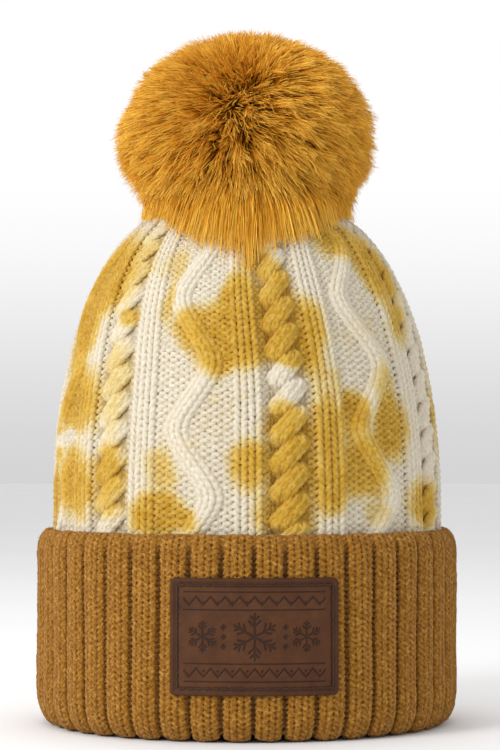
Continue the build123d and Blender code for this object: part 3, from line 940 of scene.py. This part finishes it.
def make_patch():
    columns, rows = 300, 206
    u = np.linspace(-PATCH_WIDE / 2, PATCH_WIDE / 2, columns)
    w = np.linspace(-PATCH_TALL / 2, PATCH_TALL / 2, rows)
    x, z = np.meshgrid(u, w)
    # Squeeze the grid's corners in to the rounded outline.
    dx = np.abs(x) - (PATCH_WIDE / 2 - PATCH_CORNER)
    dz = np.abs(z) - (PATCH_TALL / 2 - PATCH_CORNER)
    corner = (dx > 0) & (dz > 0)
    far = np.hypot(dx, dz)
    pull = np.where(corner, np.maximum(dx, dz) / np.maximum(far, 1e-6), 1.0)
    px = np.where(corner, np.sign(x) * (PATCH_WIDE / 2 - PATCH_CORNER + dx * pull), x)
    pz = np.where(corner, np.sign(z) * (PATCH_TALL / 2 - PATCH_CORNER + dz * pull), z)
    edge = edge_distance(px, pz)
    pressed = motif(px, pz)
    groove = np.exp(-(((edge - STITCH_INSET) / 0.42) ** 2))
    high = PATCH_THICK + 0.4 * (1 - smoothstep(BORDER - 0.15, BORDER + 0.25, edge))
    high = high - 0.55 * (1 - smoothstep(0, 0.6, edge)) ** 2 - 0.20 * groove - 0.34 * pressed
    high = high + 0.05 * wave_noise(px / 2.2, pz / 2.2, 31)
    base = CUFF_HALF + 0.05
    face = [patch_place(px, pz, base + high), patch_place(px, pz, base + 0 * high)]
    front = np.arange(rows * columns).reshape(rows, columns)
    back = front + rows * columns
    quads = [grid_quads(front).reshape(-1, 4), grid_quads(back)[:, :, ::-1].reshape(-1, 4)]
    rim = [(0, slice(None)), (slice(None), -1), (-1, slice(None, None, -1)), (slice(None, None, -1), 0)]
    for cut in rim:
        f, b = front[cut], back[cut]
        quads.append(np.stack([b[:-1], b[1:], f[1:], f[:-1]], axis=-1))
    points = np.concatenate([part.reshape(-1, 3) for part in face])
    made = make_object("patch_leather", points, np.concatenate(quads))
    made.data.validate()
    rest = np.zeros(front.size)
    point_values(made, "pressed", np.append(np.maximum(pressed, 0.6 * groove), rest))
    point_values(made, "border", np.append(edge < BORDER + 0.1, rest))
    # The front takes nearly all of the texture map; the back and the rim share the rest.
    corners = np.concatenate(quads).ravel()
    grid_u = np.tile((u / PATCH_WIDE + 0.5), rows)
    grid_v = np.repeat((w / PATCH_TALL + 0.5), columns)
    is_back = corners >= front.size
    at = corners % front.size
    uv = np.stack([grid_u[at], 0.05 + 0.95 * grid_v[at]], axis=1)
    hidden = np.repeat(is_back.reshape(-1, 4).any(axis=1), 4)
    uv[hidden] = np.stack([grid_u[at], 0.04 * grid_v[at]], axis=1)[hidden]
    corner_map(made, "OFBake", uv)
    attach(made, "hat")
    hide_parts("leather_patch")
    return made


def patch_place(x, z, half):
    """Points over the cuff's oval, at a distance across the patch from its middle."""
    turn = (x + PATCH_X) / CUFF_HALF
    return np.stack([half * np.sin(turn), -DEPTH_RATIO * half * np.cos(turn), z + PATCH_Z], axis=-1)


# ---- The fleece lining ----
def make_lining():
    low = [(BODY_HALF, z) for z in np.linspace(LINING_LOW[2], BODY_LOW - 1, 16)]
    sheet = Profile(np.concatenate([low, DOME.line]))
    angles = np.linspace(-180, 180, 301)[:-1]
    lengths = np.linspace(0, sheet.total - 3.0, 120)
    turn, length = np.meshgrid(angles, lengths)
    pile = 0.45 * wave_noise(turn / 1.4, length / 1.7, 41) + 0.25 * RANDOM.standard_normal(turn.shape)
    yarns = Yarns()
    hem = smoothstep(0, 3.5, length)
    yarns.add_grid(sheet.place(turn, length, -6.0 - 0.8 * (1 - hem)), False)
    yarns.add_grid(sheet.place(turn, length, -7.4 + 0.5 * (1 - hem) + pile * hem), True, tall=200)
    made = yarns.make("lining_pile")
    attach(made, "hat")
    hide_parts("fleece_lining")
    return made


# ---- Materials ----
class Graph:
    """A material's node tree with short calls for the nodes that this file uses."""

    def __init__(self, name):
        self.material = bpy.data.materials.new(name)
        self.material.use_nodes = True
        self.tree = self.material.node_tree
        self.shader = self.tree.nodes["Principled BSDF"]

    def node(self, kind, **settings):
        made = self.tree.nodes.new(kind)
        for key, value in settings.items():
            if hasattr(made, key):
                setattr(made, key, value)
            else:
                made.inputs[key].default_value = value
        return made

    def link(self, source, target):
        self.tree.links.new(source, target)

    def set(self, **values):
        names = {"roughness": "Roughness", "sheen": "Sheen Weight", "sheen_roughness": "Sheen Roughness",
                 "specular": "Specular IOR Level", "metallic": "Metallic"}
        for key, value in values.items():
            self.shader.inputs[names[key]].default_value = value

    def attribute(self, name):
        return self.node("ShaderNodeAttribute", attribute_name=name).outputs["Fac"]

    def coordinates(self):
        return self.node("ShaderNodeTexCoord").outputs["Object"]

    def noise(self, scale, detail=3.0, roughness=0.6, distortion=0.0, vector=None):
        made = self.node("ShaderNodeTexNoise", Scale=scale, Detail=detail, Roughness=roughness,
                         Distortion=distortion)
        self.link(vector or self.coordinates(), made.inputs["Vector"])
        return made.outputs["Fac"]

    def voronoi(self, scale, feature="F1"):
        made = self.node("ShaderNodeTexVoronoi", feature=feature, Scale=scale)
        self.link(self.coordinates(), made.inputs["Vector"])
        return made.outputs["Distance"]

    def bands(self, direction, scale, distortion):
        made = self.node("ShaderNodeTexWave", wave_type="BANDS", bands_direction=direction,
                         Scale=scale, Distortion=distortion)
        self.link(self.coordinates(), made.inputs["Vector"])
        return made.outputs["Fac"]

    def ramp(self, value, stops):
        made = self.node("ShaderNodeValToRGB")
        ramp = made.color_ramp
        while len(ramp.elements) < len(stops):
            ramp.elements.new(0.5)
        for element, (position, color) in zip(ramp.elements, stops):
            element.position = position
            element.color = color if len(color) == 4 else (*color, 1)
        self.link(value, made.inputs["Fac"])
        return made.outputs["Color"]

    def range(self, value, low, high, to_low=0.0, to_high=1.0):
        made = self.node("ShaderNodeMapRange")
        made.inputs["From Min"].default_value = low
        made.inputs["From Max"].default_value = high
        made.inputs["To Min"].default_value = to_low
        made.inputs["To Max"].default_value = to_high
        self.link(value, made.inputs["Value"])
        return made.outputs["Result"]

    def math(self, operation, a, b):
        made = self.node("ShaderNodeMath", operation=operation)
        for socket, value in zip(made.inputs, (a, b)):
            if isinstance(value, (int, float)):
                socket.default_value = value
            else:
                self.link(value, socket)
        return made.outputs["Value"]

    def mix(self, share, a, b, blend="MIX"):
        made = self.node("ShaderNodeMix", data_type="RGBA", blend_type=blend)
        for socket, value in ((made.inputs[0], share), (made.inputs[6], a), (made.inputs[7], b)):
            if isinstance(value, (int, float)):
                socket.default_value = value
            elif isinstance(value, tuple):
                socket.default_value = value if len(value) == 4 else (*value, 1)
            else:
                self.link(value, socket)
        return made.outputs[2]

    def bump(self, height, strength, distance):
        made = self.node("ShaderNodeBump", Strength=strength, Distance=distance * MM)
        self.link(height, made.inputs["Height"])
        self.link(made.outputs["Normal"], self.shader.inputs["Normal"])

    def color(self, value):
        self.link(value, self.shader.inputs["Base Color"])


def yarn_relief(g, pitch):
    """A yarn's fine fibres, and the height of its twisted plies and fibres together."""
    turn = g.math("MULTIPLY", g.attribute("around"), 4 * math.pi)
    twist = g.math("MULTIPLY", g.attribute("along"), 2 * math.pi / pitch)
    ply = g.math("SINE", g.math("ADD", twist, turn), 0.0)
    fibre = g.noise(820, 5, 0.75)
    return fibre, g.math("ADD", g.math("MULTIPLY", ply, 0.16), g.math("MULTIPLY", fibre, 2.0))


def dyed_knit_material():
    """Dip-dyed yarn: cream to gold, with fine fibres. Painted shade darkens it between the stitches, where
    the yarn lies deep, and on the low fibres of its grain.
    """
    g = Graph("dyed_yarn")
    dye = g.attribute("dye")
    fibre, height = yarn_relief(g, 2.6)
    mottle = g.noise(230, 4)
    amount = g.math("ADD", dye, g.range(mottle, 0.3, 0.7, -0.10, 0.10))
    amount = g.math("ADD", amount, g.range(fibre, 0.3, 0.7, 0.05, -0.05))
    color = g.ramp(amount, [
        (0.07, (0.87, 0.79, 0.645)), (0.36, (0.87, 0.71, 0.34)), (0.62, (0.80, 0.535, 0.115)),
        (0.84, (0.77, 0.475, 0.060)), (1.0, (0.67, 0.382, 0.035)),
    ])
    # A darker tone for painted shade, browner where the yarn is gold.
    shade = g.mix(g.range(dye, 0.1, 0.7), (0.48, 0.38, 0.20), (0.26, 0.115, 0.004))
    # Painted shade where the yarn lies deep: between the stitches, behind the cables and on the backing
    # sheet.
    hollow_shade = g.range(g.attribute("deep"), -4.4, -2.2, 0.85, 0.0)
    color = g.mix(hollow_shade, color, shade)
    # Painted shade on the low fibres of the grain, where the bump also sinks the surface.
    color = g.mix(g.range(fibre, 0.34, 0.62, 0.60, 0.0), color, g.mix(0.60, color, shade))
    patchy = g.math("MULTIPLY", g.range(g.noise(480, 2), 0.38, 0.62, 0.34, 0.0), dye)
    color = g.mix(patchy, color, (0.42, 0.20, 0.008))
    pale = g.math("MULTIPLY", g.range(g.noise(390, 2), 0.42, 0.66, 0.0, 0.30), dye)
    color = g.mix(pale, color, (0.88, 0.62, 0.17))
    g.color(color)
    g.set(roughness=0.9, sheen=0.12, sheen_roughness=0.5, specular=0.08)
    g.bump(height, 0.75, 0.42)
    return g.material


def cuff_knit_material():
    """The rib's mustard brown yarn, with painted shade in its deep grooves. Its fibre specks are partly the
    yarn's own tone and partly painted light: darker on the low fibres, lighter on the raised ones.
    """
    g = Graph("cuff_yarn")
    fibre, height = yarn_relief(g, 2.4)
    mottle = g.noise(330, 4)
    color = g.ramp(mottle, [
        (0.3, (0.36, 0.155, 0.016)), (0.55, (0.47, 0.212, 0.025)), (0.8, (0.56, 0.27, 0.04)),
    ])
    # Painted shade, near black, where the rib lies deep in its grooves.
    hollow_shade = g.range(g.attribute("deep"), -4.0, -1.9, 0.93, 0.0)
    color = g.mix(hollow_shade, color, (0.075, 0.024, 0.001))
    # Fibre specks, partly the yarn's own tone and partly painted light: painted shade on the low fibres and
    # painted highlight on the raised ones.
    color = g.mix(g.range(fibre, 0.34, 0.60, 0.8, 0.0), color, (0.17, 0.060, 0.004))
    color = g.mix(g.range(fibre, 0.52, 0.72, 0.0, 0.65), color, (0.72, 0.42, 0.13))
    g.color(color)
    g.set(roughness=0.9, sheen=0.1, sheen_roughness=0.5, specular=0.08)
    g.bump(height, 0.8, 0.42)
    return g.material


def pile_material():
    """Faux fur: dark roots, golden tips and a slightly different tone in each lock."""
    g = Graph("pile")
    reach = g.attribute("reach")
    tone = g.math("MULTIPLY", g.attribute("tone"), 0.12)
    amount = g.math("ADD", reach, tone)
    color = g.ramp(amount, [(0.05, (0.22, 0.075, 0.003)), (0.42, (0.54, 0.226, 0.012)),
                            (0.75, (0.84, 0.425, 0.034)), (1.0, (0.90, 0.55, 0.080))])
    g.color(color)
    g.set(roughness=0.6, specular=0.12)
    return g.material


def backing_material():
    """The dark knitted ground that the pile grows from."""
    g = Graph("pile_ground")
    g.color(g.ramp(g.noise(900, 4), [(0.3, (0.07, 0.024, 0.002)), (0.7, (0.20, 0.08, 0.008))]))
    g.set(roughness=0.95, specular=0.1)
    g.bump(g.noise(1500, 3), 0.6, 0.4)
    return g.material


def leather_material():
    """Dark brown leather with a fine grain, darker where the pattern is pressed."""
    g = Graph("leather")
    blotch = g.noise(120, 5, 0.65)
    color = g.ramp(blotch, [
        (0.25, (0.058, 0.019, 0.006)), (0.55, (0.088, 0.030, 0.009)), (0.85, (0.122, 0.044, 0.015)),
    ])
    color = g.mix(g.math("MULTIPLY", g.attribute("pressed"), 0.72), color, (0.024, 0.009, 0.004))
    color = g.mix(g.math("MULTIPLY", g.attribute("border"), 0.35), color, (0.040, 0.015, 0.006))
    g.color(color)
    pores = g.voronoi(1900)
    crease = g.noise(700, 5, 0.7, 0.6)
    g.bump(g.math("ADD", g.range(pores, 0.0, 0.5), g.math("MULTIPLY", crease, 1.3)), 0.35, 0.18)
    g.link(g.range(crease, 0.3, 0.7, 0.48, 0.66), g.shader.inputs["Roughness"])
    g.set(specular=0.22)
    return g.material


def fleece_material():
    """Soft brushed fleece."""
    g = Graph("fleece")
    tufts = g.noise(520, 4, 0.7)
    g.color(g.ramp(tufts, [(0.3, (0.50, 0.40, 0.26)), (0.65, (0.72, 0.63, 0.46))]))
    g.set(roughness=0.95, sheen=0.4, sheen_roughness=0.5, specular=0.1)
    g.bump(g.math("ADD", tufts, g.noise(1700, 3)), 0.8, 0.7)
    return g.material


def mottled_material(name, dark, light, grain, relief, **surface):
    """Two tones in a grain, which also raises the surface. relief is a strength and a depth."""
    g = Graph(name)
    tufts = g.noise(*grain)
    g.color(g.ramp(tufts, [(0.3, dark), (0.7, light)]))
    g.set(**surface)
    g.bump(tufts, *relief)
    return g.material


def thread_material(name, dark, light, roughness):
    """Sewing thread or yarn with its strands."""
    grain = (2600, 3, 0.65)
    surface = {"roughness": roughness, "specular": 0.3, "sheen": 0.1}
    return mottled_material(name, dark, light, grain, (0.6, 0.25), **surface)


def label_material():
    """Woven satin tape with a fine weave and no marks."""
    g = Graph("label_weave")
    threads = g.math("MULTIPLY", g.bands("Z", 900.0, 0.6), g.bands("Y", 700.0, 0.4))
    tone = g.math("ADD", threads, g.noise(400, 3))
    g.color(g.ramp(tone, [(0.4, (0.62, 0.58, 0.50)), (1.3, (0.86, 0.83, 0.76))]))
    g.set(roughness=0.42, specular=0.45)
    g.bump(threads, 0.4, 0.12)
    return g.material


def felt_material():
    """Brown wool felt."""
    surface = {"roughness": 0.95, "specular": 0.12, "sheen": 0.3}
    tones = (0.16, 0.065, 0.010), (0.34, 0.16, 0.03)
    return mottled_material("felt", *tones, (1400, 5, 0.75), (0.8, 0.4), **surface)


def metal_material(name, dark, light, rough):
    """Plated metal with soft wear and fine scratches."""
    g = Graph(name)
    wear = g.noise(380, 5, 0.7)
    g.color(g.ramp(wear, [(0.3, dark), (0.7, light)]))
    g.link(g.range(g.noise(1600, 4), 0.3, 0.7, rough - 0.08, rough + 0.12), g.shader.inputs["Roughness"])
    g.set(metallic=1.0)
    g.bump(g.noise(3000, 2), 0.15, 0.05)
    return g.material


def fibre_material():
    """The pompom's pale fibre filling."""
    tones = (0.60, 0.58, 0.54), (0.85, 0.84, 0.81)
    surface = {"roughness": 0.95, "specular": 0.1}
    return mottled_material("fibre_fill", *tones, (700, 5, 0.7), (0.9, 1.0), **surface)


LABEL_TAPE = 0.54       # thickness of the tape


def make_care_label():
    """The tape label: a thin slab that curls a little away from the liner at its free end."""
    along = np.linspace(LABEL_LOW[1], LABEL_HIGH[1], 31)
    y, z = np.meshgrid(along, np.linspace(LABEL_LOW[2], LABEL_HIGH[2], 27))
    fall = (LABEL_HIGH[2] - z) / (LABEL_HIGH[2] - LABEL_LOW[2])
    middle = (LABEL_LOW[0] + LABEL_HIGH[0]) / 2
    x = middle - 1.1 * fall**2 * (0.55 + 0.45 * np.cos(y / 7)) + 0.1 * fall * np.sin(z / 2.5 + y / 6)
    tall, wide = x.shape
    faces = []
    index = np.arange(tall * wide * 2).reshape(2, tall, wide)
    for side, turned in ((0, True), (1, False)):
        quads = grid_quads(index[side]).reshape(-1, 4)
        faces.append(quads[:, ::-1] if turned else quads)
    for edge in (index[:, 0, :], index[:, -1, ::-1], index[:, ::-1, 0], index[:, :, -1]):
        faces.append(np.stack([edge[0, :-1], edge[0, 1:], edge[1, 1:], edge[1, :-1]], axis=-1))
    points = np.stack([np.stack([x + offset, y, z], axis=-1) for offset in (-LABEL_TAPE / 2, LABEL_TAPE / 2)])
    made = make_object("label_tape", points.reshape(-1, 3), np.concatenate(faces))
    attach(made, "label")
    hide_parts("care_label")
    return made


def dress_cad_nodes():
    """Better finishes in the slots of the CAD parts that stay."""
    golden = thread_material("knit_thread", (0.22, 0.10, 0.012), (0.46, 0.26, 0.05), 0.8)
    creamy = thread_material("lining_thread", (0.50, 0.42, 0.30), (0.74, 0.66, 0.50), 0.7)
    brown = thread_material("patch_thread", (0.020, 0.008, 0.004), (0.060, 0.026, 0.012), 0.5)
    brass = metal_material("snap_brass", (0.62, 0.42, 0.16), (0.83, 0.62, 0.30), 0.30)
    steel = metal_material("spring_wire", (0.42, 0.42, 0.43), (0.68, 0.68, 0.70), 0.32)
    felt = felt_material()
    finishes = {
        "cuff_joining_seam": golden, "cuff_tacks": golden, "back_seam": golden, "crown_gather_thread": golden,
        "lining_stitches": creamy, "patch_stitches": brown,
        "care_label_stitches": creamy, "crown_disc": felt, "snap_socket": brass, "snap_socket_cap": brass,
        "snap_spring": steel, "snap_stud": brass, "stud_cap": brass, "pompom_base": felt,
        "thread_shank": golden, "pompom_fill": fibre_material(), "pompom_drawstring": creamy,
    }
    for name, material in finishes.items():
        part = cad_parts[name]
        if not part.material_slots:
            part.data.materials.append(material)
        for holder in part.material_slots:
            holder.material = material


def dress(made, material):
    made.data.materials.clear()
    made.data.materials.append(material)


# ---- Stage: floor, light and camera ----
CAMERA_HEIGHT = 105.0
CAMERA_DISTANCE = 900.0
CAMERA_LENS = 110.8
AIM = (1.2, 0.0, 133.5)
FLOOR_HEIGHT = -0.7     # just under the lowest stitches of the cuff


def make_camera():
    data = bpy.data.cameras.new("camera")
    data.lens = CAMERA_LENS
    data.sensor_width = 36
    data.clip_end = 20
    made = bpy.data.objects.new("camera", data)
    bpy.context.collection.objects.link(made)
    made.location = (AIM[0] * MM, -CAMERA_DISTANCE * MM, CAMERA_HEIGHT * MM)
    rise = math.atan2(AIM[2] - CAMERA_HEIGHT, CAMERA_DISTANCE)
    made.rotation_euler = (math.pi / 2 + rise, 0, 0)
    bpy.context.scene.camera = made


def area_light(name, place, aim, size, power):
    data = bpy.data.lights.new(name, "AREA")
    data.size = size
    data.energy = power
    made = bpy.data.objects.new(name, data)
    bpy.context.collection.objects.link(made)
    made.location = place
    direction = np.array(aim) - np.array(place)
    flat = math.hypot(direction[0], direction[1])
    made.rotation_euler = (math.pi / 2 + math.atan2(direction[2], flat), 0,
                           math.atan2(direction[1], direction[0]) - math.pi / 2)


def make_stage():
    """A pale floor, soft light all round and a larger softbox at the front left."""
    size = 6.0
    floor = make_object("floor", np.array([(-1, -1, 0), (1, -1, 0), (1, 1, 0), (-1, 1, 0)]) * size / MM,
                        [(0, 1, 2, 3)])
    floor.location.z = FLOOR_HEIGHT * MM
    g = Graph("floor_paint")
    g.color(g.ramp(g.noise(3, 2), [(0.3, (0.93, 0.93, 0.935)), (0.7, (0.95, 0.95, 0.955))]))
    g.set(roughness=0.9, specular=0.1)
    dress(floor, g.material)
    world = bpy.data.worlds.new("studio")
    world.use_nodes = True
    tree = world.node_tree
    soft = tree.nodes["Background"]
    soft.inputs["Color"].default_value = (1, 1, 1, 1)
    soft.inputs["Strength"].default_value = 0.74
    # The camera sees a paper backdrop with painted shade: grey near the floor line and white higher up.
    paper = tree.nodes.new("ShaderNodeBackground")
    way = tree.nodes.new("ShaderNodeTexCoord")
    parts = tree.nodes.new("ShaderNodeSeparateXYZ")
    painted_backdrop_shade = tree.nodes.new("ShaderNodeMapRange")
    painted_backdrop_shade.interpolation_type = "SMOOTHSTEP"
    for name, value in (("From Min", -0.02), ("From Max", 0.12), ("To Min", 0.66), ("To Max", 1.0)):
        painted_backdrop_shade.inputs[name].default_value = value
    tree.links.new(way.outputs["Generated"], parts.inputs[0])
    tree.links.new(parts.outputs["Z"], painted_backdrop_shade.inputs["Value"])
    tree.links.new(painted_backdrop_shade.outputs["Result"], paper.inputs["Color"])
    path = tree.nodes.new("ShaderNodeLightPath")
    share = tree.nodes.new("ShaderNodeMixShader")
    tree.links.new(path.outputs["Is Camera Ray"], share.inputs[0])
    tree.links.new(soft.outputs[0], share.inputs[1])
    tree.links.new(paper.outputs[0], share.inputs[2])
    tree.links.new(share.outputs[0], tree.nodes["World Output"].inputs["Surface"])
    bpy.context.scene.world = world
    area_light("key", (-0.95, -0.80, 0.75), (0, 0, 0.14), 0.5, 10)
    area_light("top", (-0.1, 0.2, 1.2), (0, 0, 0.1), 0.7, 3)
    bpy.context.scene.view_settings.view_transform = "Standard"


make_camera()
make_stage()
dyed_yarn = dyed_knit_material()
dress(make_knit_body(), dyed_yarn)
dress(make_dome_fibres(), dyed_yarn)
cuff_yarn = cuff_knit_material()
dress(make_rib_cuff(), cuff_yarn)
dress(make_cuff_fibres(), cuff_yarn)
dress(make_pile(), pile_material())
dress(make_backing(), backing_material())
dress(make_patch(), leather_material())
dress(make_lining(), fleece_material())
dress(make_care_label(), label_material())
dress_cad_nodes()
